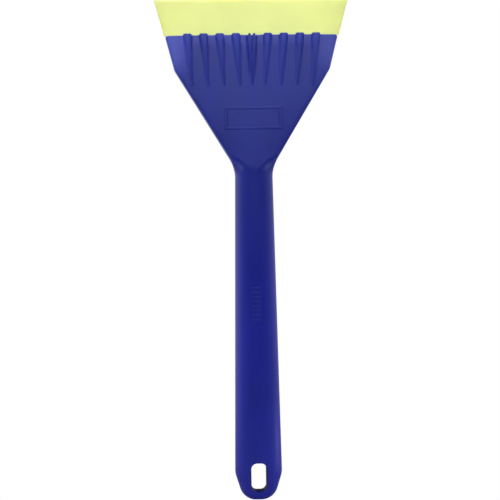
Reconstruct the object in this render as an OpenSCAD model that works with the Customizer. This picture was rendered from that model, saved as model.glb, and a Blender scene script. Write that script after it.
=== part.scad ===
// Windshield ice scraper: a hollow two-shell handle and head that clamps a
// separate scraping blade.
//
// Frame: +Z runs from the handle's tip to the cutting edge, the ridged front
// face looks along -Y, and the two shells meet on the plane y = 0.  The origin
// is on that plane at the middle of the handle's tip.

/* [Overall] */
// Length from the handle's tip to the cutting edge
overall_l = 330; // [320:1:345]

/* [Blade] */
// Width of the cutting edge
edge_w = 127.6; // [122:0.2:134]
// Width of the blade where it leaves the mouth
root_w = 115; // [114.4:0.2:116.4]
// Thickness of the blade's flat part
blade_t = 3; // [2.6:0.1:3.2]
// Height of the bevel behind the cutting edge
bevel_h = 1.7; // [1:0.1:3]
// Thickness of the cutting edge itself
edge_t = 1.0; // [0.6:0.1:1.6]
// Depth of the tang inside the mouth
tang_d = 15; // [13:0.5:16]
// Diameter of the pegs that hold the blade
peg_d = 5; // [4:0.5:6]

/* [Head] */
// Height of the mouth's lip above the handle's tip
mouth_z = 306.4; // [305:0.1:308]
// Width of the mouth
mouth_w = 113.8; // [113:0.2:114.2]
// Height of the shoulder where the sides turn inwards
shoulder_z = 283.8; // [283:0.1:285]
// Width of the head at the shoulder
shoulder_w = 102; // [101:0.2:103]
// Thickness of the head at the shoulder
head_t = 10.8; // [10.2:0.2:11.4]
// Thickness of the head where it leaves the neck
root_t = 13.8; // [13:0.2:14.2]
// Thickness over both lips at the mouth
mouth_t = 6.8; // [6.6:0.2:7.4]

/* [Ridges] */
// Number of ice-breaking ridges on each side of the middle one
ridges_per_side = 4; // [2:1:4]
// Distance between neighbouring ridges
ridge_pitch = 10.56; // [10:0.02:10.9]
// Width of a ridge at the mouth
ridge_w = 4.8; // [4:0.1:5.2]
// Height above the handle's tip where the ridges run out
ridge_end_z = 272.6; // [270:0.2:275]
// How far the ridges stand past the lip, over the blade
ridge_nose = 1.1; // [0.6:0.1:1.6]

/* [Handle] */
// Width of the handle at the neck
neck_w = 24.6; // [24:0.1:26]
// Height above the handle's tip where the neck begins
neck_z = 220; // [218:0.1:221]
// Width of the handle at its widest, near the tip
grip_w = 31.1; // [30:0.1:32]
// Height above the handle's tip of the widest section
grip_z = 17.9; // [17:0.1:19]
// Thickness of the oval as a share of its width
oval = 0.6; // [0.57:0.01:0.64]
// Thickness of the flattened tip
tip_t = 10; // [9:0.5:11]

/* [Hang slot] */
// Width of the slot
slot_w = 10.4; // [9:0.2:11]
// Length of the slot from end to end
slot_l = 19; // [16:0.5:19.5]
// Height of the slot's middle above the handle's tip
slot_z = 15.6; // [15:0.1:16.5]

/* [Shells] */
// Wall thickness of the shells
wall = 2.4; // [2.2:0.1:2.6]
// Clearance between the blade and its pocket, on each face
fit = 0.06; // [0.05:0.01:0.12]
// Depth of the locating tongue on the seam
tongue = 1.2; // [0.8:0.1:1.4]

/* [Hidden] */
big = 400;
arc_n = 10;
blue = [0.19, 0.20, 0.55];
lime = [0.91, 0.95, 0.58];
// the oval is an elliptical cone; these are its half-widths at the two ends
cone_k = (grip_w - neck_w) / 2 / (neck_z - grip_z);
function handle_a(z) = grip_w / 2 - cone_k * (z - grip_z);
pocket_z = mouth_z - tang_d - 0.2;       // floor of the blade's pocket
pocket_a = shoulder_w / 2 - 1.2;         // half-width of the pocket
ridge_top = head_t / 2 + 1.1;            // ridge crest, from the seam plane
crease_z = shoulder_z + 2.4;             // the face turns down to the lip here
face_z = neck_z + 4.5;                   // and starts here, at the neck
// half-thickness of the head's face between neck and crease
function face(z) = root_t / 2 + (head_t - root_t) / 2 * (z - face_z) / (crease_z - face_z);
peg_z = mouth_z - 8.6;
peg_xs = [-34, 0, 34];
rib_zs = [46, 76, 106, 136, 166, 194];
pin_zs = [61, 121, 181];
web_xs = [-31.7, -10.6, 10.6, 31.7];

// ---- helpers --------------------------------------------------------------
function unit(v) = v / norm(v);
// one rounded corner: arc between the tangent points on its two sides
function corner(a, b, c, r) =
    let (u = unit(a - b), w = unit(c - b),
         half = acos(max(-1, min(1, u * w))) / 2,
         t = r / tan(half),
         p = b + u * t,
         o = b + unit(u + w) * (r / sin(half)),
         a0 = atan2((p - o)[1], (p - o)[0]),
         q = b + w * t,
         a1 = atan2((q - o)[1], (q - o)[0]),
         da = ((a1 - a0 + 540) % 360) - 180)
    r < 0.01 ? [b] : [for (i = [0 : arc_n]) o + r * [cos(a0 + da * i / arc_n), sin(a0 + da * i / arc_n)]];
// a closed polygon [x, y, radius] with every corner rounded
function rounded(p) =
    let (n = len(p))
    [for (i = [0 : n - 1]) each corner([p[(i + n - 1) % n][0], p[(i + n - 1) % n][1]],
                                       [p[i][0], p[i][1]],
                                       [p[(i + 1) % n][0], p[(i + 1) % n][1]], p[i][2])];
function mirrored(half) =
    concat(half, [for (i = [len(half) - 1 : -1 : 0]) [-half[i][0], half[i][1], half[i][2]]]);

// front view of the moulded body, as x and z
module outline() polygon(rounded(mirrored([
    [grip_w / 2 - 5.68, 0, 11],
    [grip_w / 2, grip_z, 15],
    [neck_w / 2, neck_z, 25],
    [shoulder_w / 2, shoulder_z, 3],
    [mouth_w / 2, mouth_z, 1.3]])));

// turn a drawing in x and z into a solid through the thickness, y0 to y1
module through(y0, y1) translate([0, y1, 0]) rotate([90, 0, 0]) linear_extrude(height = y1 - y0) children();
// turn a drawing in y and z into a solid across the width
module across(w) rotate([0, 0, 90]) rotate([90, 0, 0]) linear_extrude(height = w, center = true) children();
module stadium(d, l, z, y0, y1) {
    for (s = [-1, 1]) translate([0, y1, z + s * (l - d) / 2]) rotate([90, 0, 0]) cylinder(d = d, h = y1 - y0, $fn = 64);
    translate([-d / 2, y0, z - (l - d) / 2]) cube([d, y1 - y0, l - d]);
}
module rod(x, z, d, y0, y1) translate([x, y1, z]) rotate([90, 0, 0]) cylinder(d = d, h = y1 - y0, $fn = 48);

// side view of the handle, as y and z: flattened tip and ramp at the neck
module handle_side(i = 0) {
    h = tip_t / 2 - i;
    m = 14 - i;
    e = root_t / 2 - 0.5 - i;
    r = neck_z + 5.2 - i * 0.4;
    polygon([[-h, i], [h, i], [m, 48], [m, r - 2 * (m - e)], [e, r], [-e, r], [-m, r - 2 * (m - e)], [-m, 48]]);
}
// side view of the head: a wedge that grows out of the oval handle, faces that
// close in towards the shoulder, then a steeper slope down to the lips
module head_side(i = 0) {
    g = root_t / 2 - i;
    h = head_t / 2 - i;
    l = mouth_t / 2 - i;
    polygon([[-0.5, neck_z - 18], [0.5, neck_z - 18], [g, face_z + i], [h, crease_z], [l, mouth_z],
             [l, mouth_z + 5], [-l, mouth_z + 5], [-l, mouth_z], [-h, crease_z], [-g, face_z + i]]);
}

// the whole moulded body as one volume, pulled in by i on every side
module body(i = 0) {
    intersection() {
        scale([1, ((grip_w / 2) * oval - i) / (grip_w / 2 - i), 1])
            cylinder(r1 = handle_a(0) - i, r2 = handle_a(neck_z + 20) - i, h = neck_z + 20, $fn = 96);
        through(-20, 20) offset(delta = -i) outline();
        across(60) handle_side(i);
    }
    intersection() {
        through(-20, 20) intersection() {
            offset(delta = -i) outline();
            translate([-80, neck_z - 19]) square([160, 200]);
        }
        across(140) head_side(i);
    }
}

module half(side) intersection() {
    children();
    translate([-big / 2, side < 0 ? -big : 0, -big]) cube([big, big, big * 3]);
}

// the room inside the shells: handle bore and head chamber, less their ribs
module hollow() difference() {
    intersection() {
        body(wall);
        translate([-100, -50, 0]) cube([200, 100, pocket_z - 2.4]);
    }
    for (z = rib_zs) translate([-20, -20, z - 0.8]) cube([40, 40, 1.6]);
    translate([-30, -20, neck_z + 5]) cube([60, 40, 1.8]);
    for (x = web_xs) translate([x - 0.8, -20, neck_z]) cube([1.6, 40, 80]);
    stadium(slot_w + 2 * wall, slot_l + 2 * wall, slot_z, -20, 20);
}

// one ridge, drawn on the front face between the left and right edges at the
// mouth (x0, x1) and at its run-out end (x2, x3)
module ridge(x0, x1, x2, x3) intersection() {
    through(-20, 20) polygon([[x0, mouth_z + ridge_nose], [x1, mouth_z + ridge_nose], [x3, ridge_end_z], [x2, ridge_end_z]]);
    across(140) polygon([[-face(ridge_end_z) + 0.4, ridge_end_z - 0.1], [-face(ridge_end_z) - 0.1, ridge_end_z],
                         [-ridge_top, shoulder_z + 4], [-head_t / 2 + 0.1, mouth_z + ridge_nose],
                         [-blade_t / 2 - fit - 0.1, mouth_z + ridge_nose],
                         [-blade_t / 2 - fit - 0.1, mouth_z - 3], [-head_t / 2 + 0.7, shoulder_z + 2]]);
}

module ridges() {
    for (k = [1 : ridges_per_side]) for (s = [-1, 1]) {
        c = s * k * ridge_pitch;
        w = ridge_w / 2;
        // the side nearer the middle runs straight down, the outer side leans in
        ridge(c - w, c + w, s > 0 ? c - w - 0.9 : c + w - 0.4, s > 0 ? c - w + 0.4 : c + w + 0.9);
    }
    difference() {
        ridge(-2.3, 2.3, -0.7, 0.7);
        // the notch that splits the middle ridge at the mouth
        through(-20, -mouth_t / 2 + 0.01) polygon([[-1.05, mouth_z + 3], [1.05, mouth_z + 3], [0, mouth_z - 9.4]]);
    }
}

// thin rim round the blank label panel
module label_rim() intersection() {
    through(-20, 0) difference() {
        translate([-18.5, 244.4]) square([37, 15.2]);
        translate([-17.4, 245.5]) square([34.8, 13]);
    }
    across(60) polygon([[-face(240) - 0.4, 240], [-face(265) - 0.4, 265], [-face(265) + 0.3, 265], [-face(240) + 0.3, 240]]);
}

// ---- the pieces -----------------------------------------------------------
// front half of the body, with the ridges, the pegs and the seam tongue
module front_shell() color(blue) difference() {
    union() {
        half(-1) difference() {
            body();
            hollow();
        }
        ridges();
        label_rim();
        for (x = peg_xs) rod(x, peg_z, peg_d, -mouth_t / 2 + 0.2, blade_t / 2 + fit + 0.8);
        for (z = pin_zs) rod(0, z, 4, -(grip_w / 2) * oval * 0.75, 3);
        through(-0.6, tongue) intersection() {
            difference() {
                offset(delta = -wall * 0.36) outline();
                offset(delta = -wall * 0.72) outline();
            }
            translate([-80, 3]) square([160, pocket_z - 6]);
        }
    }
    // pocket for the blade's tang, cut round the pegs
    difference() {
        translate([-pocket_a, -blade_t / 2 - fit, pocket_z]) cube([2 * pocket_a, 20, 60]);
        for (x = peg_xs) rod(x, peg_z, peg_d, -5, 5);
    }
    stadium(slot_w, slot_l, slot_z, -20, 20);
}

// back half of the body, with the peg sockets, the pin bosses and the groove
module back_shell() color(blue) difference() {
    union() {
        half(1) difference() {
            body();
            hollow();
        }
        for (z = pin_zs) rod(0, z, 8, 0.1, (grip_w / 2) * oval * 0.75);
    }
    translate([-pocket_a, -20, pocket_z]) cube([2 * pocket_a, 20 + blade_t / 2 + fit, 60]);
    for (x = peg_xs) rod(x, peg_z, peg_d + 0.2, 0, blade_t / 2 + fit + 1);
    for (z = pin_zs) rod(0, z, 4.2, -1, 3.4);
    through(-1, tongue + 0.1) intersection() {
        difference() {
            offset(delta = -wall * 0.32) outline();
            offset(delta = -wall * 0.76) outline();
        }
        translate([-80, 2.9]) square([160, pocket_z - 5.8]);
    }
    stadium(slot_w, slot_l, slot_z, -20, 20);
}

// stiff clear-lime blade: flaring plate, bevelled edge and a tang with holes
module blade() color(lime) difference() {
    union() {
        intersection() {
            through(-10, 10) polygon([[-root_w / 2, mouth_z + 0.06], [root_w / 2, mouth_z + 0.06],
                                      [edge_w / 2, overall_l], [-edge_w / 2, overall_l]]);
            across(200) polygon([[-blade_t / 2, 0], [blade_t / 2, 0], [blade_t / 2, overall_l - bevel_h],
                                 [edge_t / 2, overall_l], [-edge_t / 2, overall_l], [-blade_t / 2, overall_l - bevel_h]]);
        }
        translate([-pocket_a + 0.2, -blade_t / 2, pocket_z + 0.1]) cube([2 * pocket_a - 0.4, blade_t, tang_d + 1]);
    }
    for (x = peg_xs) rod(x, peg_z, peg_d + 0.3, -5, 5);
}

front_shell();
back_shell();
blade();
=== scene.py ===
import bpy
import bmesh
import math
import numpy as np
from mathutils import Matrix, Vector


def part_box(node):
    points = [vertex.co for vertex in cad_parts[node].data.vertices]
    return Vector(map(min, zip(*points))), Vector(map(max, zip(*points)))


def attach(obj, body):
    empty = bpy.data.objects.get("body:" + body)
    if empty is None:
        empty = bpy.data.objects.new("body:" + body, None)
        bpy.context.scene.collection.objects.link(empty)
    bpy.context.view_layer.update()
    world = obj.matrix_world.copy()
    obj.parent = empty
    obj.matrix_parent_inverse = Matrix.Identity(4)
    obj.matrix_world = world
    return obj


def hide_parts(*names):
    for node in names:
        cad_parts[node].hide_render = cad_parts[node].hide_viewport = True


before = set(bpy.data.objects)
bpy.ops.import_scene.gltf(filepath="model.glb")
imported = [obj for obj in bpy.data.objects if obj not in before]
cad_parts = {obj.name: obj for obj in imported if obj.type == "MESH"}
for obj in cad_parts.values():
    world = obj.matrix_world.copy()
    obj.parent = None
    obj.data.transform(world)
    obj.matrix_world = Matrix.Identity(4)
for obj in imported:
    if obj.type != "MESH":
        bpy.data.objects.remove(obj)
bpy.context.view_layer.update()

# ---------------------------------------------------------------------------
# Dimensions (mm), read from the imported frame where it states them
# ---------------------------------------------------------------------------
FLO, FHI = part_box("front_shell")
BLO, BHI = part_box("back_shell")
LLO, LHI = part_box("blade")
MM = 1000.0
TOTAL_Z = LHI.z * MM              # cutting edge
EDGE_A = LHI.x * MM               # half-width of the cutting edge
BLADE_H = LHI.y * MM              # half-thickness of the blade
NOSE_Z = FHI.z * MM               # ends of the ridges
MOUTH_Z = BHI.z * MM              # lip of the mouth
NOSE = NOSE_Z - MOUTH_Z
TANG_Z = LLO.z * MM
OVAL = 0.60
MOUTH_A, SHOULDER_A, SHOULDER_Z = FHI.x * MM + 0.4, 51.0, 283.8
NECK_A, NECK_Z = 12.3, 220.0
GRIP_A, GRIP_Z = 15.55, 17.9
CONE_K = (GRIP_A - NECK_A) / (NECK_Z - GRIP_Z)
PITCH, RIDGES = 10.56, 4
RIDGE_END = 272.6
SLOT_R, SLOT_HALF, SLOT_Z = 5.2, 9.5, 15.6
SLOT_CORNER, SLOT_DRAFT = 4.0, 0.4
LABEL_Z, LABEL_HX, LABEL_HZ = 252.0, 17.9, 6.6
Z_T = 34.0                        # the tip patch ends and the section rows begin
GAP = 0.06
K = 12                            # columns from the seam to the face, on each side


# ---------------------------------------------------------------------------
# Small maths helpers
# ---------------------------------------------------------------------------
def smin(a, b, k):
    h = np.clip(0.5 + 0.5 * (b - a) / k, 0, 1)
    return b * (1 - h) + a * h - k * h * (1 - h)


def smax(a, b, k):
    return -smin(-np.asarray(a, float), -np.asarray(b, float), k)


def sstep(t, a, b):
    t = np.clip((np.asarray(t, float) - a) / (b - a), 0, 1)
    return t * t * (3 - 2 * t)


def pchip(xs, ys):
    xs, ys = np.array(xs, float), np.array(ys, float)
    h, d = np.diff(xs), np.diff(ys) / np.diff(xs)
    m = np.zeros(len(xs))
    for i in range(1, len(xs) - 1):
        if d[i - 1] * d[i] > 0:
            w1, w2 = 2 * h[i] + h[i - 1], h[i] + 2 * h[i - 1]
            m[i] = (w1 + w2) / (w1 / d[i - 1] + w2 / d[i])
    m[0], m[-1] = d[0], d[-1]

    def f(x):
        x = np.asarray(x, float)
        i = np.clip(np.searchsorted(xs, x) - 1, 0, len(xs) - 2)
        t = np.clip((x - xs[i]) / h[i], 0, 1)
        return ((1 + 2 * t) * (1 - t) ** 2 * ys[i] + t * (1 - t) ** 2 * h[i] * m[i]
                + t * t * (3 - 2 * t) * ys[i + 1] + t * t * (t - 1) * h[i] * m[i + 1])
    return f


# ---------------------------------------------------------------------------
# Outline of the moulded body in the x-z plane
# ---------------------------------------------------------------------------
def rounded(points, n=28):
    out = []
    m = len(points)
    for i in range(m):
        a, b, c = (np.array(points[(i + j) % m][:2], float) for j in (-1, 0, 1))
        r = points[i][2]
        u, w = (a - b) / np.linalg.norm(a - b), (c - b) / np.linalg.norm(c - b)
        half = math.acos(float(np.clip(u @ w, -1, 1))) / 2
        o = b + (u + w) / np.linalg.norm(u + w) * (r / math.sin(half))
        p, q = b + u * r / math.tan(half), b + w * r / math.tan(half)
        a0 = math.atan2(*(p - o)[::-1])
        da = (math.atan2(*(q - o)[::-1]) - a0 + 3 * math.pi) % (2 * math.pi) - math.pi
        out += [o + r * np.array([math.cos(a0 + da * j / n), math.sin(a0 + da * j / n)]) for j in range(n + 1)]
    return np.array(out)


HALF = [(GRIP_A - 5.68, 0, 11), (GRIP_A, GRIP_Z, 15), (NECK_A, NECK_Z, 25),
        (SHOULDER_A, SHOULDER_Z, 4.5), (MOUTH_A, MOUTH_Z, 1.3)]
POLY = rounded(HALF + [(-x, z, r) for x, z, r in HALF[::-1]])
_side = POLY[:len(POLY) // 2]
_side = _side[_side[:, 1] > 8.0]
_side = _side[np.argsort(_side[:, 1])]


def half_width(z):
    return np.interp(z, _side[:, 1], _side[:, 0])


_seg_a = POLY
_seg_b = np.roll(POLY, -1, axis=0)


def edge_distance(x, z):
    """Distance inwards from the outline, for points of the tip."""
    p = np.stack([np.ravel(x), np.ravel(z)], 1)[:, None, :]
    ab = (_seg_b - _seg_a)[None]
    t = np.clip(((p - _seg_a[None]) * ab).sum(2) / np.maximum((ab ** 2).sum(2), 1e-12), 0, 1)
    d = np.sqrt(((p - _seg_a[None] - t[..., None] * ab) ** 2).sum(2)).min(1)
    return d.reshape(np.shape(x))


# ---------------------------------------------------------------------------
# Thickness of the moulded body: height of the face above the seam plane
# ---------------------------------------------------------------------------
def cone_a(z):
    return GRIP_A - CONE_K * (np.asarray(z, float) - GRIP_Z)


_face = pchip([211, 219.6, 221.0, 228, 240, 255, 270, 286.2], [7.41, 7.56, 7.53, 7.27, 6.86, 6.35, 5.88, 5.4])


def face(z):
    """Half-thickness of the head: a nearly level face from the neck, then a slope to the lip."""
    z = np.asarray(z, float)
    plateau = np.where(z < 286.2, _face(z), 5.4 - 0.03 * (z - 286.2))
    slope = 5.4 + (3.4 - 5.4) * (z - 286.8) / (MOUTH_Z - 286.8)
    return smin(plateau, slope, 0.12)


_tip = pchip([0, 5, 10, 16, 22, 28, 34], [4.3, 5.6, 6.75, 7.85, 8.7, 9.2, 9.6])


def oval_height(d, z):
    """Height of the oval handle at distance d from its edge."""
    q = np.clip(1 - d / cone_a(z), 0, 1)
    return (OVAL * cone_a(z) - 0.04) * np.sqrt(np.maximum(1 - q * q, 0))


def tip_height(x, z):
    h = oval_height(edge_distance(x, z), z)
    return smin(h, _tip(z), 0.9)


def ticks(x, z):
    """A short ladder of plain raised bars on the front of the handle."""
    u = (np.asarray(z, float) - 118.2) / 2.95
    bar = np.clip((0.62 - np.abs((u % 1.0) - 0.5) * 2.95) / 0.3, 0, 1)
    inside = (u > 0) & (u < 8)
    wide = np.clip((2.95 - np.abs(x)) / 0.35, 0, 1)
    return 0.2 * bar * wide * inside


def body_height(x, z, front):
    """Face height over the seam plane for the head and handle, without the ridges."""
    x, z = np.broadcast_arrays(np.abs(np.asarray(x, float)), np.asarray(z, float))
    a, ac = half_width(z), cone_a(z)
    # the oval widens with the outline at the neck, where the head's level face cuts across it
    aa = np.where(z < 205, ac, a)
    q = np.clip(x / aa, 0, 1)
    handle = (OVAL * aa - 0.04) * np.sqrt(np.maximum(1 - q * q, 0))
    handle = np.where(z < Z_T + 12, smin(handle, np.where(z <= 34, _tip(z), 9.6 + (z - 34) * 0.1), 0.9), handle)
    f = face(z)
    handle = np.where(z < 205, handle, smin(handle, f + 0.02 * np.clip(214.0 - z, 0, None), 0.1))
    d = a - x
    re = np.clip(f, 0.01, 1.5)
    edge = re - np.sqrt(np.maximum(re ** 2 - np.clip(re - d, 0, re) ** 2, 0))
    crown = (0.25 + 0.45 * sstep(286 - z, 0, 60)) * (x / np.maximum(a, 1)) ** 2 * sstep(z, 214, 234)
    roll = 0.75 * np.clip((x - 45.0) / 10.0, 0, 1.2) ** 2 * sstep(z, 281, 289)
    head = f - edge - crown - roll
    w = sstep(z + 2.6 * np.clip(x / np.maximum(a, 1), 0, 1) ** 2, 217, 230)
    h = handle * (1 - w) + head * w
    if front:
        h = h + ticks(x, z)
        e = np.maximum(np.abs(x) - LABEL_HX, np.abs(z - LABEL_Z) - LABEL_HZ)
        h = h + 0.24 * np.clip((0.96 - np.abs(e)) / 0.16, 0, 1)
    return h


# ---------------------------------------------------------------------------
# Columns across the face.  On the head they follow the ridges' edges.
# ---------------------------------------------------------------------------
_top = pchip([RIDGE_END, 275, 280, 285, 289, 297, NOSE_Z], [5.80, 6.08, 6.28, 6.42, 6.42, 6.05, 5.28])


def ridge_top(z):
    return _top(np.clip(z, RIDGE_END, NOSE_Z))


def lerp(z, pts):
    """Piecewise linear in z; pts from the tip end upwards."""
    return float(np.interp(z, [p[0] for p in pts], [p[1] for p in pts]))


def ridge_columns(z, xf):
    """x of each face column on the right half at height z, and its role."""
    s = min(max((z - RIDGE_END) / (NOSE_Z - RIDGE_END), 0), 1)
    strand = lerp(z, [(RIDGE_END, 0.62), (280.5, 1.0), (298, 2.25), (NOSE_Z, 2.4)])
    slit = lerp(z, [(RIDGE_END, 0.14), (296.5, 0.30), (NOSE_Z, 1.02)])
    e = min(0.2, strand * 0.2)
    cols = [(0.0, "slit"), (slit * 0.45, "slit"), (slit, "mid_in"), (min(slit + 0.2, strand - 2 * e), "mid"),
            (strand - 2 * e, "mid"), (strand - e, "mid_out"), (strand, "groove_in")]
    gw = lerp(z, [(RIDGE_END, 0.2), (280, 0.35), (NOSE_Z, 0.5)])
    cols += [(strand + gw, "groove"), (strand + gw + 0.4, "floor")]
    prev = strand + gw + 0.4
    for k in range(1, RIDGES + 1):
        c = k * PITCH
        i, o = c - 3.2 - 0.05 * (1 - s), c + 3.2 - 5.15 * (1 - s)
        w = o - i
        e1, e2 = min(0.8, 0.2 * w), min(0.45, 0.13 * w)
        foot = min(0.4, (i - prev) * 0.2)
        cols += [(prev + (foot if k > 1 else 0.3 * (i - prev)), "floor"), ((prev + i) / 2, "floor"), (i - foot, "floor")]
        cols += [(i, "base"), (i + e1, "side"), (i + e1 + e2, "top"), ((i + o) / 2, "crest"),
                 (o - e1 - e2, "top"), (o - e1, "side"), (o, "base")]
        prev = o
    cols += [(prev + 0.4, "wing")] + [(prev + 0.4 + (xf - prev - 0.4) * j / 5, "wing") for j in range(1, 5)]
    return cols


_roles = [r for _, r in ridge_columns(300, 54)]
M = len(_roles)
_r2 = [i for i, r in enumerate(_roles) if r == "base"][2]     # first column of the second ridge


def label_columns(z, xf):
    xs = np.zeros(M)
    lab = LABEL_HX + np.array([-0.97, -0.79, -0.4, 0.0, 0.4, 0.79, 0.97])
    xs[:_r2] = np.linspace(0, lab[0], _r2 + 1)[:-1]
    xs[_r2:_r2 + 7] = lab
    xs[_r2 + 7:] = np.linspace(lab[-1], xf, M - _r2 - 7 + 2)[1:-1]
    return xs


def even_columns(z, xf):
    return np.linspace(0, xf, M + 1)[:-1]


def face_columns(z, xf):
    """x of the M face columns on the right half, centre first."""
    if z >= RIDGE_END:
        return np.array([c for c, _ in ridge_columns(z, xf)])
    if z > 261.5:
        t = float(sstep(z, 261.5, RIDGE_END))
        return (1 - t) * label_columns(z, xf) + t * np.array([c for c, _ in ridge_columns(RIDGE_END, xf)])
    if z > 242.6:
        return label_columns(z, xf)
    if z > 226:
        t = float(sstep(z, 226, 242.6))
        xe, lab = even_columns(z, xf), label_columns(242.6, half_width(242.6) - 2.4) * xf / (half_width(242.6) - 2.4)
        return (1 - t) * xe + t * lab
    return even_columns(z, xf)


def relief(z, role, base, front):
    """Height of a face column at z, from the plain face height."""
    if not front or z < RIDGE_END - 0.01:
        return base
    fade = float(sstep(z, RIDGE_END, RIDGE_END + 0.7))
    top = float(ridge_top(z))
    s = (z - RIDGE_END) / (NOSE_Z - RIDGE_END)
    if role in ("side",):
        return base + (top - 0.2 - base) * fade
    if role == "top":
        return base + (top - base) * fade
    if role == "crest":
        return base + (top + 0.07 - base) * fade
    if role in ("mid", "mid_in", "mid_out"):
        t = top - (0.16 if role != "mid" else 0.0) - 0.1
        return base + (t - base) * fade
    if role == "slit":
        open_ = float(sstep(z, 296.2, 299.5))
        t = top - 0.1
        return (base + (t - base) * fade) * (1 - open_) + (base - 0.6) * open_
    if role in ("groove_in", "groove"):
        return base - 0.3 * float(sstep(z, 273.5, 286)) * (0.55 + 0.45 * s)
    return base


def nose_shift(z, role, u, front):
    """How far a column's end stands past the lip."""
    w = float(sstep(z, 299.0, MOUTH_Z))
    if not front:
        return 0.0
    if role in ("side", "top", "crest"):
        return (NOSE - (0.1 if role == "side" else 0.0)) * w
    if role in ("mid", "mid_in", "mid_out"):
        return (NOSE * 0.9 - (0.12 if role != "mid" else 0.0)) * w
    if role == "floor":
        return 0.28 * u ** 4 * w
    return 0.0


# ---------------------------------------------------------------------------
# Mesh store
# ---------------------------------------------------------------------------
class Store:
    def __init__(self):
        self.v, self.f, self.wear, self.inside = [], [], [], []

    # inside: weight of the shade painted into the colour of the hang slot's walls
    def add(self, x, y, z, wear=0.0, inside=0.0):
        self.v.append((x / MM, y / MM, z / MM))
        self.wear.append(wear)
        self.inside.append(inside)
        return len(self.v) - 1

    def quad(self, *ids):
        ids = [i for n, i in enumerate(ids) if i != ids[n - 1]]
        if len(ids) > 2:
            self.f.append(ids)

    def strip(self, a, b):
        for i in range(len(a) - 1):
            self.quad(a[i], a[i + 1], b[i + 1], b[i])


def resample(px, py, n):
    """n points by arc length along a polyline, ends included."""
    s = np.r_[0, np.cumsum(np.hypot(np.diff(px), np.diff(py)))]
    t = np.linspace(0, s[-1], n)
    return np.interp(t, s, px), np.interp(t, s, py)


def edge_section(height, d_end, wall):
    """Seam groove and edge, from the seam inwards: distances d from the outline and heights y.
    height(d) is the face height at distance d; wall is its height at the outline."""
    d = d_end * np.linspace(0, 1, 260) ** 2.4
    y = height(d)
    y0 = 0.42
    py = np.r_[np.linspace(y0, max(wall, y0), 30), np.maximum(y, y0)]
    px = np.r_[np.zeros(30), d]
    keep = int(np.argmax(py > y0 + 1e-6)) if (py > y0 + 1e-6).any() else 0
    if wall <= y0:
        keep = max(keep - 1, 0)
        px, py = px[keep:], py[keep:]
    sx, sy = resample(px, py, K - 1)
    d0 = sx[0]
    return np.r_[d0 + 0.30, d0 + 0.05, sx], np.r_[0.0, 0.27, sy]


# ---------------------------------------------------------------------------
# One moulded shell
# ---------------------------------------------------------------------------
def spaced(a, b, step):
    n = max(1, int(round(abs(b - a) / step)))
    return list(np.linspace(a, b, n + 1)[:-1])


ROWS = (spaced(Z_T, 116, 2.6) + spaced(116, 144, 0.37) + spaced(144, 196, 2.4) + spaced(196, 214, 1.2)
        + spaced(214, 228, 0.5) + spaced(228, 243.2, 1.4)
        + [LABEL_Z - LABEL_HZ + d for d in (-1.7, -1.1, -0.96, -0.88, -0.80, -0.4, 0.0, 0.4, 0.80, 0.88, 0.96, 1.1, 1.7)]
        + spaced(247.9, 256.4, 1.4)
        + [LABEL_Z + LABEL_HZ + d for d in (-1.7, -1.1, -0.96, -0.88, -0.80, -0.4, 0.0, 0.4, 0.80, 0.88, 0.96, 1.1, 1.7)]
        + spaced(261.6, 271.4, 1.1)
        + [271.6, 272.3, RIDGE_END, 272.85, 273.1, 273.35, 273.8, 274.4, 275.2, 276.2]
        + spaced(277.2, 284.4, 1.0) + spaced(284.4, 289.6, 0.4) + spaced(289.6, 296, 1.0)
        + spaced(296, 300, 0.5) + spaced(300, 304.6, 0.8)
        + [304.6, 305.1, 305.45, 305.75, 305.98, 306.15])


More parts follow.
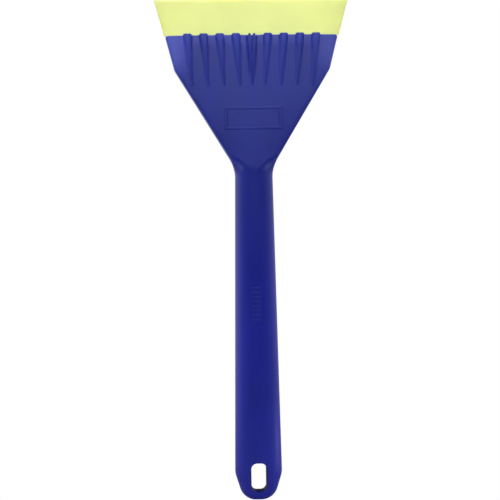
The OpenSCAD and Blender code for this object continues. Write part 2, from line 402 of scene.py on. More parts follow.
def build_shell(name, front):
    """Closed shell half: outer face, seam face, blade pocket, lip and hang slot."""
    sg = -1.0 if front else 1.0
    S = Store()
    xf_of = lambda z: float(half_width(z)) - lerp(z, [(Z_T, 3.1), (200, 2.5), (226, 2.4), (MOUTH_Z, 2.3)])
    main = []
    dz_cols = None
    for z in ROWS:
        a, xf = float(half_width(z)), xf_of(z)
        wall = float(body_height(a, z, False))
        if z < 203:
            wall = 0.0
        d, y = edge_section(lambda dd: body_height(a - dd, z, front), a - xf, wall)
        xs = face_columns(z, xf)
        plain = body_height(xs, z, front)
        row = []
        # left half, outermost first, then the centre column, then the right half
        for side in (-1, 1):
            part = []
            for j in range(K):
                part.append((side * (a - d[j]), y[j], z, 0.0))
            cols = []
            for j in range(M - 1, -1, -1):
                role = _roles[j]
                u = 0.0
                if role == "floor":
                    # place within the valley, for the lip's curve
                    lo, hi = j, j
                    while _roles[lo - 1] in ("floor", "groove") and lo > 0:
                        lo -= 1
                    while _roles[hi + 1] == "floor":
                        hi += 1
                    u = 2 * (xs[j] - xs[lo]) / max(xs[hi] - xs[lo], 1e-6) - 1
                h = relief(z, role, float(plain[j]), front)
                zz = z + nose_shift(z, role, u, front)
                worn = 1.0 if (front and z > RIDGE_END and role in ("side", "mid_in", "mid_out")) else 0.0
                cols.append((side * xs[j], h, zz, worn))
            part += cols
            if side == -1:
                row += part
            else:
                row += part[:-1][::-1]
        ids = [S.add(x, sg * h, zz, w) for x, h, zz, w in row]
        main.append(ids)
    NC = len(main[0])
    for r in range(len(main) - 1):
        S.strip(main[r], main[r + 1])

    # ---- lip: round over the end of the face, then back to the pocket -------
    last = [S.v[i] for i in main[-1]]
    zlast = ROWS[-1]
    roles_row = ["edge"] * K + [_roles[j] for j in range(M - 1, -1, -1)]
    roles_row = roles_row + roles_row[:-1][::-1]
    a_top = float(half_width(MOUTH_Z)) - 0.02
    pocket_limit = SHOULDER_A - 1.2
    rim_rows = []
    for step in range(3):
        ids = []
        for c in range(NC):
            x, y, z = (q * MM for q in last[c])
            h = abs(y)
            ends = z + (MOUTH_Z - zlast)
            t = (0.55, 0.9, 1.0)[step]
            drop = (0.03, 0.10, 0.22)[step]
            if roles_row[c] == "edge":
                k = min(1.0, h / 1.0)
                xx = np.sign(x) * (abs(x) - (abs(x) - min(abs(x), a_top - 0.1 * step)) * t)
                ids.append(S.add(xx, sg * max(h - drop * k, 0), z + (MOUTH_Z - zlast) * t, 0.3))
            else:
                ids.append(S.add(x, sg * (h - drop), z + (ends - z) * t, 0.6 if front else 0.3))
        rim_rows.append(ids)
    S.strip(main[-1], rim_rows[0])
    S.strip(rim_rows[0], rim_rows[1])
    S.strip(rim_rows[1], rim_rows[2])
    rim = rim_rows[-1]
    # inner edge of the lip: on the pocket plane inside it, on the seam outside it
    inner_y = BLADE_H + GAP
    xs_rim = [S.v[i][0] * MM for i in rim]
    right = [c for c in range(NC // 2, NC) if xs_rim[c] <= pocket_limit][-1]
    left = NC - 1 - right
    pocket_a = xs_rim[right]
    inner, seam_top_l, seam_top_r = [], [], []
    for c in range(NC):
        x, y, z = (q * MM for q in S.v[rim[c]])
        if left <= c <= right:
            inner.append(S.add(x, sg * inner_y, z))
        else:
            inner.append(None)
    S.strip([rim[c] for c in range(left, right + 1)], [inner[c] for c in range(left, right + 1)])
    seam_l = [rim[c] if abs(S.v[rim[c]][1]) < 1e-7 else S.add(S.v[rim[c]][0] * MM, 0, S.v[rim[c]][2] * MM) for c in range(left + 1)]
    seam_r = [rim[c] if abs(S.v[rim[c]][1]) < 1e-7 else S.add(S.v[rim[c]][0] * MM, 0, S.v[rim[c]][2] * MM) for c in range(right, NC)]
    S.strip(rim[:left], seam_l[:-1])
    S.f.append([rim[left - 1], rim[left], inner[left], seam_l[-1], seam_l[-2]])
    S.f.append([rim[right], rim[right + 1], seam_r[1], seam_r[0], inner[right]])
    S.strip(rim[right + 1:], seam_r[1:])
    # pocket: side walls, floor and back
    floor_z = TANG_Z - 0.1
    fl = [S.add(-pocket_a, 0, floor_z), S.add(0, 0, floor_z), S.add(pocket_a, 0, floor_z),
          S.add(pocket_a, sg * inner_y, floor_z), S.add(-pocket_a, sg * inner_y, floor_z)]
    S.f.append(list(fl))
    S.quad(seam_l[-1], inner[left], fl[4], fl[0])
    S.quad(seam_r[0], inner[right], fl[3], fl[2])
    S.f.append([inner[c] for c in range(left, right + 1)] + [fl[3], fl[4]])

    # ---- tip: bands that follow the outline, then rings round the slot ------
    arc = [p for p in POLY[:len(POLY) // 2] if p[1] < Z_T]
    pts = np.array(sorted([tuple(p) for p in arc], key=lambda p: (p[1], p[0])))
    path = np.vstack([[0.0, 0.0], pts, [half_width(Z_T), Z_T]])
    cum = np.r_[0, np.cumsum(np.hypot(*np.diff(path, axis=0).T))]
    J = 46
    tt = np.linspace(0, cum[-1], J + 1)
    bx, bz = np.interp(tt, cum, path[:, 0]), np.interp(tt, cum, path[:, 1])
    # inward normals from the path's smoothed direction
    fine = np.linspace(0, cum[-1], 1200)
    fx, fz = np.interp(fine, cum, path[:, 0]), np.interp(fine, cum, path[:, 1])
    tx, tz = np.gradient(fx, fine), np.gradient(fz, fine)
    ker = np.ones(25) / 25
    tx = np.convolve(np.r_[np.full(12, 1.0), tx, np.full(12, tx[-1])], ker, "valid")
    tz = np.convolve(np.r_[-tz[12:0:-1], tz, np.full(12, tz[-1])], ker, "valid")
    nx, nz = -np.interp(tt, fine, tz), np.interp(tt, fine, tx)
    ln = np.hypot(nx, nz)
    nx, nz = nx / ln, nz / ln
    nx[-1], nz[-1] = -1.0, 0.0
    d_f0 = half_width(Z_T) - xf_of(Z_T)
    right_band = []      # [j][k], j from the bottom centre up the right side
    for j in range(J + 1):
        if j == J:
            right_band.append([main[0][NC - 1 - k] for k in range(K)])
            continue

        def hh(dd, j=j):
            return tip_height(bx[j] + nx[j] * dd, bz[j] + nz[j] * dd)
        d, y = edge_section(hh, d_f0, 0.0)
        right_band.append([S.add(bx[j] + nx[j] * d[k], sg * y[k], bz[j] + nz[j] * d[k], 0.0) for k in range(K)])
    left_band = []
    for j in range(J + 1):
        if j == 0:
            left_band.append(right_band[0])
        elif j == J:
            left_band.append([main[0][k] for k in range(K)])
        else:
            left_band.append([S.add(-S.v[i][0] * MM, S.v[i][1] * MM, S.v[i][2] * MM) for i in right_band[j]])
    for band in (right_band, left_band):
        for j in range(J):
            S.strip(band[j], band[j + 1])
    # closed loop: down the left side, round the tip, up the right, back along the row
    loop = [left_band[j][K - 1] for j in range(J, -1, -1)] + [right_band[j][K - 1] for j in range(1, J + 1)]
    loop += [main[0][c] for c in range(NC - 1 - K, K - 1, -1)]
    P = np.array([[S.v[i][0] * MM, S.v[i][2] * MM] for i in loop])
    ang = np.arctan2(P[:, 0], P[:, 1] - SLOT_Z)

    def slot_point(angle, r):
        """Where the ray at this angle from the slot's centre meets the slot grown by r - SLOT_R."""
        c, s = np.cos(angle), np.sin(angle)
        half_h, rc = SLOT_HALF + r - SLOT_R, SLOT_CORNER + r - SLOT_R
        cx, cz = r - rc, half_h - rc
        t_side, t_end = r / np.maximum(np.abs(s), 1e-9), half_h / np.maximum(np.abs(c), 1e-9)
        along = np.abs(s) * cx + np.abs(c) * cz
        t_arc = along + np.sqrt(np.maximum(along ** 2 - (cx ** 2 + cz ** 2 - rc ** 2), 0))
        t = np.where(t_side * np.abs(c) <= cz, t_side, np.where(t_end * np.abs(s) <= cx, t_end, t_arc))
        return t * s, SLOT_Z + t * c

    RF = 1.0
    gx, gz = slot_point(ang, SLOT_R + RF)
    rings = [loop]
    NR = 9
    for r in range(1, NR + 1):
        t = r / NR
        x, z = P[:, 0] * (1 - t) + gx * t, P[:, 1] * (1 - t) + gz * t
        y = tip_height(x, z) if r < NR else tip_height(x, z)
        rings.append([S.add(x[i], sg * y[i], z[i]) for i in range(len(loop))])
    # from here the last value given to S.add is the weight of the shade painted on the slot's walls
    for phi in (22, 45, 67, 90):
        e = RF * (1 - math.sin(math.radians(phi)))
        x, z = slot_point(ang, SLOT_R + e)
        y = tip_height(x, z) - (RF - math.sqrt(max(RF ** 2 - (RF - e) ** 2, 0)))
        rings.append([S.add(x[i], sg * y[i], z[i], 0.0, (phi - 22) / 68) for i in range(len(loop))])
    x, z = slot_point(ang, SLOT_R)
    ytop = tip_height(x, z) - RF
    for frac in (0.66, 0.33):
        x, z = slot_point(ang, SLOT_R - SLOT_DRAFT * (1 - frac))
        rings.append([S.add(x[i], sg * (0.4 + (ytop[i] - 0.4) * frac), z[i], 0.0, 1.0) for i in range(len(loop))])
    x, z = slot_point(ang, SLOT_R - SLOT_DRAFT)
    rings.append([S.add(x[i], sg * 0.36, z[i], 0.0, 1.0) for i in range(len(loop))])
    x, z = slot_point(ang, SLOT_R - SLOT_DRAFT + 0.22)
    rings.append([S.add(x[i], 0.0, z[i]) for i in range(len(loop))])
    for a_, b_ in zip(rings, rings[1:]):
        S.strip(a_ + [a_[0]], b_ + [b_[0]])
    hole = rings[-1]

    # ---- seam face, as two flat halves that meet on x = 0 -------------------
    n_loop = len(loop)
    bottom_i = J                                     # the loop's point at the bottom centre
    top_i = 2 * J + 1 + (n_loop - 2 * J - 1) // 2    # and at the top centre
    xs_hole = [S.v[i][0] * MM for i in hole]
    top_i = min(range(2 * J + 1, n_loop), key=lambda i: abs(xs_hole[i]))
    right_arc = [hole[i] for i in range(top_i, bottom_i - 1, -1)]
    left_arc = [hole[i % n_loop] for i in range(top_i, n_loop + bottom_i + 1)]
    border_r = [right_band[j][0] for j in range(J + 1)] + [main[r][NC - 1] for r in range(1, len(main))]
    border_r += [rr[NC - 1] for rr in rim_rows[:-1]]
    border_l = [left_band[j][0] for j in range(J + 1)] + [main[r][0] for r in range(1, len(main))]
    border_l += [rr[0] for rr in rim_rows[:-1]]
    S.f.append(border_r + seam_r[::-1] + [fl[2], fl[1]] + right_arc)
    S.f.append(border_l + seam_l + [fl[0], fl[1]] + left_arc)
    return make_object(name, S, 64)


def make_object(name, S, sharp_deg):
    me = bpy.data.meshes.new(name)
    me.from_pydata(S.v, [], S.f)
    wear = me.attributes.new("wear", "FLOAT", "POINT")
    wear.data.foreach_set("value", np.array(S.wear, np.float32))
    # the inside attribute marks the hang slot's walls, where shade is painted into the colour
    inside = me.attributes.new("inside", "FLOAT", "POINT")
    inside.data.foreach_set("value", np.array(S.inside, np.float32))
    bm = bmesh.new()
    bm.from_mesh(me)
    bmesh.ops.remove_doubles(bm, verts=bm.verts, dist=2e-6)
    bmesh.ops.dissolve_degenerate(bm, edges=bm.edges, dist=1e-6)
    bmesh.ops.recalc_face_normals(bm, faces=bm.faces)
    bad = [e for e in bm.edges if len(e.link_faces) != 2]
    print(name, "verts", len(bm.verts), "faces", len(bm.faces), "open or shared edges", len(bad), "volume mm3", round(bm.calc_volume() * 1e9, 1))
    for e in bad[:12]:
        print("   ", len(e.link_faces), [[round(c * MM, 3) for c in v.co] for v in e.verts])
    for f in bm.faces:
        f.smooth = True
    bm.to_mesh(me)
    bm.free()
    me.set_sharp_from_angle(angle=math.radians(sharp_deg))
    ob = bpy.data.objects.new(name, me)
    bpy.context.scene.collection.objects.link(ob)
    return ob


# ---------------------------------------------------------------------------
# The blade
# ---------------------------------------------------------------------------
def build_blade(name):
    S = Store()
    root_a = EDGE_A - 6.3
    tang_a = SHOULDER_A - 1.4
    bevel = TOTAL_Z - 1.7

    def width(z):
        return root_a + (EDGE_A - root_a) * (z - MOUTH_Z - 0.06) / (TOTAL_Z - MOUTH_Z - 0.06)

    n = 30

    def loop(z, a, h, r):
        """Rounded flat section, counter-clockwise seen from above."""
        r = min(r, h * 0.95)
        ids, pts = [], []
        xs = np.linspace(-(a - r), a - r, n)
        pts += [(x, -h) for x in xs]
        pts += [(a - r + r * math.sin(t), -h + r - r * math.cos(t)) for t in np.radians([30, 60, 90])]
        pts += [(a - r + r * math.cos(t), h - r + r * math.sin(t)) for t in np.radians([0, 30, 60])]
        pts += [(x, h) for x in xs[::-1]]
        pts += [(-(a - r) - r * math.sin(t), h - r + r * math.cos(t)) for t in np.radians([30, 60, 90])]
        pts += [(-(a - r) - r * math.cos(t), -h + r - r * math.sin(t)) for t in np.radians([0, 30, 60])]
        return [S.add(x, y, z) for x, y in pts]

    h = BLADE_H
    z0 = TANG_Z
    zs = MOUTH_Z + 0.06
    stack = [loop(z0, tang_a - 0.25, h - 0.25, 0.2), loop(z0 + 0.1, tang_a - 0.06, h - 0.06, 0.25), loop(z0 + 0.3, tang_a, h, 0.3)]
    stack += [loop(z, tang_a, h, 0.3) for z in (z0 + 5, z0 + 10, zs - 0.02)]
    stack += [loop(zs, width(zs) - 0.2, h, 0.3), loop(zs + 0.1, width(zs) - 0.03, h, 0.3)]
    stack += [loop(z, width(z), h, 0.35) for z in np.linspace(zs + 0.4, bevel - 0.25, 12)]
    he = 0.5
    stack += [loop(bevel, width(bevel), h - 0.012, 0.35), loop(bevel + 0.2, width(bevel + 0.2), h - 0.11, 0.35)]
    for t in (0.35, 0.65, 0.9):
        z = bevel + (TOTAL_Z - bevel) * t
        stack.append(loop(z, width(z), h + (he - h) * t, 0.3))
    stack += [loop(TOTAL_Z - 0.06, width(TOTAL_Z) - 0.05, he - 0.02, 0.2), loop(TOTAL_Z, width(TOTAL_Z) - 0.16, he - 0.14, 0.15)]
    for a, b in zip(stack, stack[1:]):
        S.strip(a + [a[0]], b + [b[0]])
    m = len(stack[0])
    for ids in (stack[0], stack[-1]):
        half = m // 2
        # cap with a strip of quads between the two long sides
        a = ids[:n + 3]
        b = [ids[-1 - i] for i in range(3)][::-1]
        front_side = ids[m - 3:] + ids[:n + 3]
        back_side = ids[n + 3:m - 3][::-1]
        front_side, back_side = front_side[:], back_side[:]
        S.strip(front_side, back_side)
    return make_object(name, S, 40)


# ---------------------------------------------------------------------------
# Materials
# ---------------------------------------------------------------------------
def lin(c):
    return tuple(((v / 255) / 12.92 if v / 255 <= 0.04045 else ((v / 255 + 0.055) / 1.055) ** 2.4) for v in c)


def node(nt, kind, x=0, y=0, **inputs):
    n = nt.nodes.new(kind)
    n.location = (x, y)
    for k, v in inputs.items():
        n.inputs[k.replace("_", " ")].default_value = v
    return n


def blue_plastic(name, base, seed):
    m = bpy.data.materials.new(name)
    m.use_nodes = True
    nt = m.node_tree
    nt.nodes.clear()
    out = node(nt, "ShaderNodeOutputMaterial", 900)
    bsdf = node(nt, "ShaderNodeBsdfPrincipled", 600)
    nt.links.new(bsdf.outputs[0], out.inputs[0])
    co = node(nt, "ShaderNodeTexCoord", -1200)
    mp = node(nt, "ShaderNodeMapping", -1000)
    mp.inputs["Location"].default_value = (seed, seed * 0.7, seed * 1.3)
    nt.links.new(co.outputs["Object"], mp.inputs["Vector"])
    # broad flow marks from the moulding, stretched along the handle
    flow_map = node(nt, "ShaderNodeMapping", -800, 300)
    flow_map.inputs["Scale"].default_value = (1.0, 1.0, 0.28)
    nt.links.new(mp.outputs[0], flow_map.inputs["Vector"])
    flow = node(nt, "ShaderNodeTexNoise", -600, 300, Scale=70.0, Detail=3.0, Roughness=0.5)
    nt.links.new(flow_map.outputs[0], flow.inputs["Vector"])
    # fine spark-eroded grain of the mould
    grain = node(nt, "ShaderNodeTexNoise", -600, 0, Scale=2600.0, Detail=2.0, Roughness=0.6)
    nt.links.new(mp.outputs[0], grain.inputs["Vector"])
    pits = node(nt, "ShaderNodeTexVoronoi", -600, -250, Scale=1500.0)
    nt.links.new(mp.outputs[0], pits.inputs["Vector"])
    # colour
    ramp = nt.nodes.new("ShaderNodeValToRGB")
    ramp.location = (-350, 300)
    dark = tuple(v * 0.90 for v in base)
    lite = tuple(min(1, v * 1.12) for v in base)
    ramp.color_ramp.elements[0].position = 0.32
    ramp.color_ramp.elements[0].color = (*dark, 1)
    ramp.color_ramp.elements[1].position = 0.72
    ramp.color_ramp.elements[1].color = (*lite, 1)
    nt.links.new(flow.outputs["Fac"], ramp.inputs["Fac"])
    speck = nt.nodes.new("ShaderNodeMix")
    speck.data_type = "RGBA"
    speck.blend_type = "MULTIPLY"
    speck.inputs["Factor"].default_value = 0.18
    nt.links.new(ramp.outputs["Color"], speck.inputs["A"])
    nt.links.new(grain.outputs["Color"], speck.inputs["B"])
    wear = node(nt, "ShaderNodeAttribute", -600, 520)
    wear.attribute_name = "wear"
    wn = node(nt, "ShaderNodeTexNoise", -600, 700, Scale=420.0, Detail=4.0, Roughness=0.65)
    nt.links.new(mp.outputs[0], wn.inputs["Vector"])
    wr = nt.nodes.new("ShaderNodeMapRange")
    wr.location = (-350, 700)
    wr.inputs["From Min"].default_value = 0.45
    wr.inputs["From Max"].default_value = 0.75
    nt.links.new(wn.outputs["Fac"], wr.inputs["Value"])
    wm = node(nt, "ShaderNodeMath", -150, 620)
    wm.operation = "MULTIPLY"
    nt.links.new(wear.outputs["Fac"], wm.inputs[0])
    nt.links.new(wr.outputs[0], wm.inputs[1])
    ws = node(nt, "ShaderNodeMath", 20, 620)
    ws.operation = "MULTIPLY"
    ws.inputs[1].default_value = 0.35
    nt.links.new(wm.outputs[0], ws.inputs[0])
    mix = nt.nodes.new("ShaderNodeMix")
    mix.data_type = "RGBA"
    mix.location = (200, 350)
    nt.links.new(ws.outputs[0], mix.inputs["Factor"])
    nt.links.new(speck.outputs["Result"], mix.inputs["A"])
    mix.inputs["B"].default_value = (*[min(1, v * 1.5 + 0.03) for v in base], 1)
    # painted light and shade by height: the colour is multiplied by a ramp along the part, with less green towards
    # the tip and less blue in the head
    xyz = node(nt, "ShaderNodeSeparateXYZ", -600, 1050)
    nt.links.new(co.outputs["Object"], xyz.inputs[0])
    along = nt.nodes.new("ShaderNodeMapRange")
    along.location = (-400, 1050)
    along.inputs["From Max"].default_value = TOTAL_Z / MM
    nt.links.new(xyz.outputs["Z"], along.inputs["Value"])
    painted_light_ramp = nt.nodes.new("ShaderNodeValToRGB")
    painted_light_ramp.location = (-200, 1050)
    stops = [(0.33, 0.714, 1.0), (0.43, 0.714, 0.95), (0.52, 0.714, 0.83), (0.60, 0.714, 0.76),
             (0.68, 0.76, 0.73), (0.76, 0.86, 0.76), (0.83, 0.97, 0.82), (0.90, 1.0, 0.835)]
    el = painted_light_ramp.color_ramp.elements
    while len(el) < len(stops):
        el.new(0.5)
    for e, (t, g, b) in zip(el, stops):
        e.position = t
    for e, (t, g, b) in zip(el, stops):
        e.color = (1.0, g, b, 1)
    nt.links.new(along.outputs[0], painted_light_ramp.inputs["Fac"])
    painted_light_mix = nt.nodes.new("ShaderNodeMix")
    painted_light_mix.data_type = "RGBA"
    painted_light_mix.blend_type = "MULTIPLY"
    painted_light_mix.location = (300, 700)
    painted_light_mix.inputs["Factor"].default_value = 1.0
    nt.links.new(mix.outputs["Result"], painted_light_mix.inputs["A"])
    nt.links.new(painted_light_ramp.outputs["Color"], painted_light_mix.inputs["B"])
    # inner walls of the hang slot: painted shade, the base colour darkened there to 0.22 of the blue, and duller with
    # a lower specular level
    slot_shade_mask = node(nt, "ShaderNodeAttribute", 0, 900)
    slot_shade_mask.attribute_name = "inside"
    slot_painted_shade = nt.nodes.new("ShaderNodeMix")
    slot_painted_shade.data_type = "RGBA"
    slot_painted_shade.location = (400, 500)
    nt.links.new(slot_shade_mask.outputs["Fac"], slot_painted_shade.inputs["Factor"])
    nt.links.new(painted_light_mix.outputs["Result"], slot_painted_shade.inputs["A"])
    slot_painted_shade.inputs["B"].default_value = (*[v * 0.22 for v in base], 1)
    nt.links.new(slot_painted_shade.outputs["Result"], bsdf.inputs["Base Color"])
    dull = nt.nodes.new("ShaderNodeMapRange")
    dull.location = (200, 150)
    dull.inputs["To Min"].default_value = 0.5
    dull.inputs["To Max"].default_value = 0.06
    nt.links.new(slot_shade_mask.outputs["Fac"], dull.inputs["Value"])
    nt.links.new(dull.outputs[0], bsdf.inputs["Specular IOR Level"])
    # roughness
    rr = nt.nodes.new("ShaderNodeMapRange")
    rr.location = (200, 0)
    rr.inputs["To Min"].default_value = 0.34
    rr.inputs["To Max"].default_value = 0.46
    nt.links.new(flow.outputs["Fac"], rr.inputs["Value"])
    nt.links.new(rr.outputs[0], bsdf.inputs["Roughness"])
    # bump: grain, pits and a slow waviness
    b1 = node(nt, "ShaderNodeBump", 200, -250, Strength=0.10, Distance=0.00012)
    nt.links.new(grain.outputs["Fac"], b1.inputs["Height"])
    b2 = node(nt, "ShaderNodeBump", 0, -400, Strength=0.06, Distance=0.0001)
    nt.links.new(pits.outputs["Distance"], b2.inputs["Height"])
    b3 = node(nt, "ShaderNodeBump", -200, -500, Strength=0.10, Distance=0.0006)
    nt.links.new(flow.outputs["Fac"], b3.inputs["Height"])
    nt.links.new(b3.outputs[0], b2.inputs["Normal"])
    nt.links.new(b2.outputs[0], b1.inputs["Normal"])
    nt.links.new(b1.outputs[0], bsdf.inputs["Normal"])
    bsdf.inputs["IOR"].default_value = 1.49
    return m


def lime_plastic(name, base):
    m = bpy.data.materials.new(name)
    m.use_nodes = True
    nt = m.node_tree
    nt.nodes.clear()
    out = node(nt, "ShaderNodeOutputMaterial", 900)
    bsdf = node(nt, "ShaderNodeBsdfPrincipled", 600)
    nt.links.new(bsdf.outputs[0], out.inputs[0])
    co = node(nt, "ShaderNodeTexCoord", -1200)
    streak_map = node(nt, "ShaderNodeMapping", -900, 200)
    streak_map.inputs["Scale"].default_value = (1.0, 1.0, 0.12)
    nt.links.new(co.outputs["Object"], streak_map.inputs["Vector"])
    streak = node(nt, "ShaderNodeTexNoise", -650, 200, Scale=160.0, Detail=3.0, Roughness=0.55)
    nt.links.new(streak_map.outputs[0], streak.inputs["Vector"])
    cloud = node(nt, "ShaderNodeTexNoise", -650, -50, Scale=38.0, Detail=2.0)
    nt.links.new(co.outputs["Object"], cloud.inputs["Vector"])
    ramp = nt.nodes.new("ShaderNodeValToRGB")
    ramp.location = (-350, 100)
    ramp.color_ramp.elements[0].position = 0.3
    ramp.color_ramp.elements[0].color = (*[v * 0.965 for v in base], 1)
    ramp.color_ramp.elements[1].position = 0.7
    ramp.color_ramp.elements[1].color = (*[min(1, v * 1.03) for v in base], 1)
    nt.links.new(cloud.outputs["Fac"], ramp.inputs["Fac"])
    nt.links.new(ramp.outputs["Color"], bsdf.inputs["Base Color"])
    rr = nt.nodes.new("ShaderNodeMapRange")
    rr.location = (200, 0)
    rr.inputs["To Min"].default_value = 0.275
    rr.inputs["To Max"].default_value = 0.305
    nt.links.new(streak.outputs["Fac"], rr.inputs["Value"])
    nt.links.new(rr.outputs[0], bsdf.inputs["Roughness"])
    fine = node(nt, "ShaderNodeTexNoise", -650, -300, Scale=1400.0, Detail=2.0)
    nt.links.new(co.outputs["Object"], fine.inputs["Vector"])
    b2 = node(nt, "ShaderNodeBump", 0, -300, Strength=0.02, Distance=0.0003)
    nt.links.new(streak.outputs["Fac"], b2.inputs["Height"])
    b1 = node(nt, "ShaderNodeBump", 200, -300, Strength=0.04, Distance=0.0001)
    nt.links.new(fine.outputs["Fac"], b1.inputs["Height"])
    nt.links.new(b2.outputs[0], b1.inputs["Normal"])
    nt.links.new(b1.outputs[0], bsdf.inputs["Normal"])
    bsdf.inputs["IOR"].default_value = 1.5
    bsdf.inputs["Subsurface Weight"].default_value = 0.35
    bsdf.inputs["Subsurface Radius"].default_value = (1.0, 1.0, 0.35)
    bsdf.inputs["Subsurface Scale"].default_value = 0.004
    return m


# ---------------------------------------------------------------------------
# Build
# ---------------------------------------------------------------------------
blue = (0.012, 0.0343, 0.534)
front = build_shell("front_shell_moulding", True)
back = build_shell("back_shell_moulding", False)
blade = build_blade("blade_plate")
front.data.materials.append(blue_plastic("blue_moulded_front", blue, 0.0))
back.data.materials.append(blue_plastic("blue_moulded_back", blue, 3.7))
blade.data.materials.append(lime_plastic("lime_blade", lin((236, 245, 148))))
for ob, n, s in ((front, "front_shell", "blue_moulding_front"), (back, "back_shell", "blue_moulding_back"), (blade, "blade", "lime_blade")):
    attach(ob, "root")
    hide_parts(n)

# ---------------------------------------------------------------------------
# Floor, light and camera
# ---------------------------------------------------------------------------
bm = bmesh.new()
bmesh.ops.create_circle(bm, cap_ends=True, radius=0.55, segments=96)
floor_me = bpy.data.meshes.new("floor")
bm.to_mesh(floor_me)
bm.free()
floor = bpy.data.objects.new("floor", floor_me)
floor.location = (0, 0, -0.0006)
bpy.context.scene.collection.objects.link(floor)
fm = bpy.data.materials.new("floor_white")
fm.use_nodes = True
nt = fm.node_tree
nt.nodes.clear()
fo = node(nt, "ShaderNodeOutputMaterial", 400)
# to the camera the sweep is burnt out white; to everything else it is a pale matt board
fd = node(nt, "ShaderNodeBsdfDiffuse", 0)
fd.inputs["Color"].default_value = (0.6, 0.6, 0.6, 1)
fe = node(nt, "ShaderNodeEmission", 0, -200)
fe.inputs["Color"].default_value = (1, 1, 1, 1)
fe.inputs["Strength"].default_value = 1.0
fl = node(nt, "ShaderNodeLightPath", 0, 250)
fa = node(nt, "ShaderNodeMixShader", 200)
nt.links.new(fl.outputs["Is Camera Ray"], fa.inputs["Fac"])
nt.links.new(fd.outputs[0], fa.inputs[1])
nt.links.new(fe.outputs[0], fa.inputs[2])
nt.links.new(fa.outputs[0], fo.inputs[0])
floor_me.materials.append(fm)

world = bpy.data.worlds.new("studio")
bpy.context.scene.world = world
world.use_nodes = True
nt = world.node_tree
nt.nodes.clear()
wo = node(nt, "ShaderNodeOutputWorld", 900)
lp = node(nt, "ShaderNodeLightPath", 300, 300)
bg_cam = node(nt, "ShaderNodeBackground", 300)
bg_cam.inputs["Color"].default_value = (1, 1, 1, 1)
bg_cam.inputs["Strength"].default_value = 1.0
bg_env = node(nt, "ShaderNodeBackground", 300, -200)
mixw = node(nt, "ShaderNodeMixShader", 600)
nt.links.new(lp.outputs["Is Camera Ray"], mixw.inputs["Fac"])
nt.links.new(bg_env.outputs[0], mixw.inputs[1])
nt.links.new(bg_cam.outputs[0], mixw.inputs[2])
nt.links.new(mixw.outputs[0], wo.inputs["Surface"])
tc = node(nt, "ShaderNodeTexCoord", -1300)
sep = node(nt, "ShaderNodeSeparateXYZ", -1100)
nt.links.new(tc.outputs["Generated"], sep.inputs[0])


def math2(op, a, b=0.0, x=0, y=0):
    n = nt.nodes.new("ShaderNodeMath")
    n.operation = op
    n.location = (x, y)
    for i, v in enumerate((a, b)):
        if isinstance(v, (int, float)):
            n.inputs[i].default_value = v
        else:
            nt.links.new(v, n.inputs[i])
    return n.outputs[0]


def ramp(name, fac, stops, x=0, y=0):
    """Piecewise linear brightness along fac; stops are (position, value / 4)."""
    n = nt.nodes.new("ShaderNodeValToRGB")
    n.name = name
    n.location = (x, y)
    el = n.color_ramp.elements
    while len(el) > 1:
        el.remove(el[-1])
    el[0].position = stops[0][0]
    el[0].color = (stops[0][1] / 4,) * 3 + (1,)
    for p, v in stops[1:]:
        e = el.new(p)
        e.color = (v / 4,) * 3 + (1,)
    nt.links.new(fac, n.inputs["Fac"])
    return n.outputs["Color"]


# the studio: brightness by azimuth from the front (degrees, right positive) on three rings of elevation, and overhead
azimuth = math2("ARCTAN2", sep.outputs["X"], math2("MULTIPLY", sep.outputs["Y"], -1.0, -900, 200), -700, 200)
turn = math2("ADD", math2("MULTIPLY", azimuth, 0.5 / math.pi, -500, 200), 0.5, -300, 200)
rise = math2("ADD", math2("MULTIPLY", math2("ARCSINE", sep.outputs["Z"], 0, -900, -100), 1.0 / math.pi, -700, -100), 0.5, -500, -100)
RINGS = {
    "mid": [(-180, 0.1), (-140, 1.3), (-100, 1.55), (-75, 1.2), (-50, 0.15), (-25, 0.0), (0, 0.0),
            (25, 0.0), (50, 0.10), (75, 0.82), (100, 1.1), (140, 1.1), (180, 0.1)],
    "high": [(-180, 0.15), (-100, 0.9), (-50, 1.0), (0, 0.40), (50, 0.95), (100, 0.75), (180, 0.15)],
    "low": [(-180, 0.0), (-90, 0.38), (0, 0.0), (90, 0.38), (180, 0.0)],
}
TOP = 0.6
BAND = {"low": [(-90, 1), (-60, 1), (0, 0)], "mid": [(-60, 0), (0, 1), (40, 0)],
        "high": [(0, 0), (40, 1), (90, 0)], "top": [(40, 0), (90, 1)]}
total = None
for i, key in enumerate(("low", "mid", "high", "top")):
    w = ramp("band_" + key, rise, [((e + 90) / 180, 4.0 * v / 4.0) for e, v in BAND[key]], -200, -300 * i)
    if key == "top":
        v = node(nt, "ShaderNodeValue", -200, -900)
        v.name = "ring_top"
        v.outputs[0].default_value = TOP
        part = math2("MULTIPLY", w, v.outputs[0], 0, -300 * i)
        part = math2("MULTIPLY", part, 4.0, 100, -300 * i)
    else:
        r = ramp("ring_" + key, turn, [((a_ + 180) / 360, v) for a_, v in RINGS[key]], -200, 300 + 300 * i)
        part = math2("MULTIPLY", w, r, 0, -300 * i)
        part = math2("MULTIPLY", part, 16.0, 100, -300 * i)
    total = part if total is None else math2("ADD", total, part, 200, -300 * i)
nt.links.new(total, bg_env.inputs["Strength"])
bg_env.inputs["Color"].default_value = (1.0, 1.0, 1.0, 1)


def area(name, loc, target, size, power, size_y, spread):
    d = bpy.data.lights.new(name, "AREA")
    d.shape = "RECTANGLE"
    d.size, d.size_y = size, size_y
    d.spread = math.radians(spread)
    d.energy = power
    ob = bpy.data.objects.new(name, d)
    ob.location = loc
    v = Vector(target) - Vector(loc)
    ob.rotation_euler = v.to_track_quat("-Z", "Y").to_euler()
    ob.visible_camera = False
    bpy.context.scene.collection.objects.link(ob)
    return ob


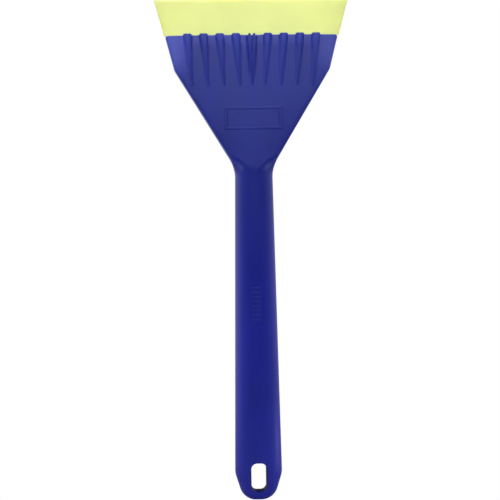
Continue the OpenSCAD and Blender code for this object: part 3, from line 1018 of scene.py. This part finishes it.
def snoot(name, target, azimuth_deg, elevation_deg, distance, w, h, spread, power):
    """A narrow beam onto one spot of the part."""
    ca, ce = math.radians(azimuth_deg), math.radians(elevation_deg)
    d = Vector((math.sin(ca) * math.cos(ce), -math.cos(ca) * math.cos(ce), math.sin(ce)))
    return area(name, Vector(target) + d * distance, target, w, power, h, spread)


area("head_low", (0.02, -0.60, 0.41), (0, 0, 0.290), 0.28, 0.0145, 0.10, 28)
area("head_high", (0.0, -0.42, 0.62), (0, 0, 0.290), 0.30, 0.021, 0.15, 36)
area("key_left", (-0.45, -0.36, 0.46), (0, 0, 0.27), 0.25, 0.007, 0.25, 40)
snoot("blade_beam", (0, -BLADE_H / MM, 0.3195), 0, 34, 0.5, 0.150, 0.027, 2.0, 0.0056)
snoot("neck_left", (-0.0095, -0.006, 0.2225), -44, -27, 0.25, 0.010, 0.012, 6.0, 0.00006)
snoot("neck_right", (0.0095, -0.006, 0.2225), 50, -27, 0.25, 0.010, 0.012, 6.0, 0.00006)
snoot("flank_right", (0.0110, -0.005, 0.036), 80, -6, 0.15, 0.020, 0.030, 25.0, 0.00032)
snoot("wing_left", (-0.0535, -0.004, 0.293), -18, 30, 0.5, 0.014, 0.020, 3.0, 0.00045)
snoot("wing_right", (0.0535, -0.004, 0.293), 22, 30, 0.5, 0.014, 0.020, 3.0, 0.00028)

sc = bpy.context.scene
sc.view_settings.view_transform = "Standard"
sc.view_settings.look = "None"
sc.view_settings.exposure = 0
sc.view_settings.gamma = 1

# camera: slightly to the left of the face's normal, long lens, a small roll
D = 0.917
cx, cz = -0.0480, 0.1867
yaw, pitch, roll = (math.radians(v) for v in (2.794, -1.333, -0.944))
fwd = Vector((math.sin(yaw) * math.cos(pitch), math.cos(yaw) * math.cos(pitch), math.sin(pitch)))
right = Vector((math.cos(yaw), -math.sin(yaw), 0))
up = right.cross(fwd)
r2 = right * math.cos(roll) + up * math.sin(roll)
u2 = -right * math.sin(roll) + up * math.cos(roll)
cam_d = bpy.data.cameras.new("camera")
cam_d.lens = 1389.4 / 500 * 36
cam_d.sensor_width = 36
cam_d.clip_start, cam_d.clip_end = 0.05, 20
cam = bpy.data.objects.new("camera", cam_d)
rot = Matrix((r2, u2, -fwd)).transposed()
cam.matrix_world = Matrix.Translation((cx, -math.sqrt(D * D - cx * cx), cz)) @ rot.to_4x4()
sc.collection.objects.link(cam)
sc.camera = cam
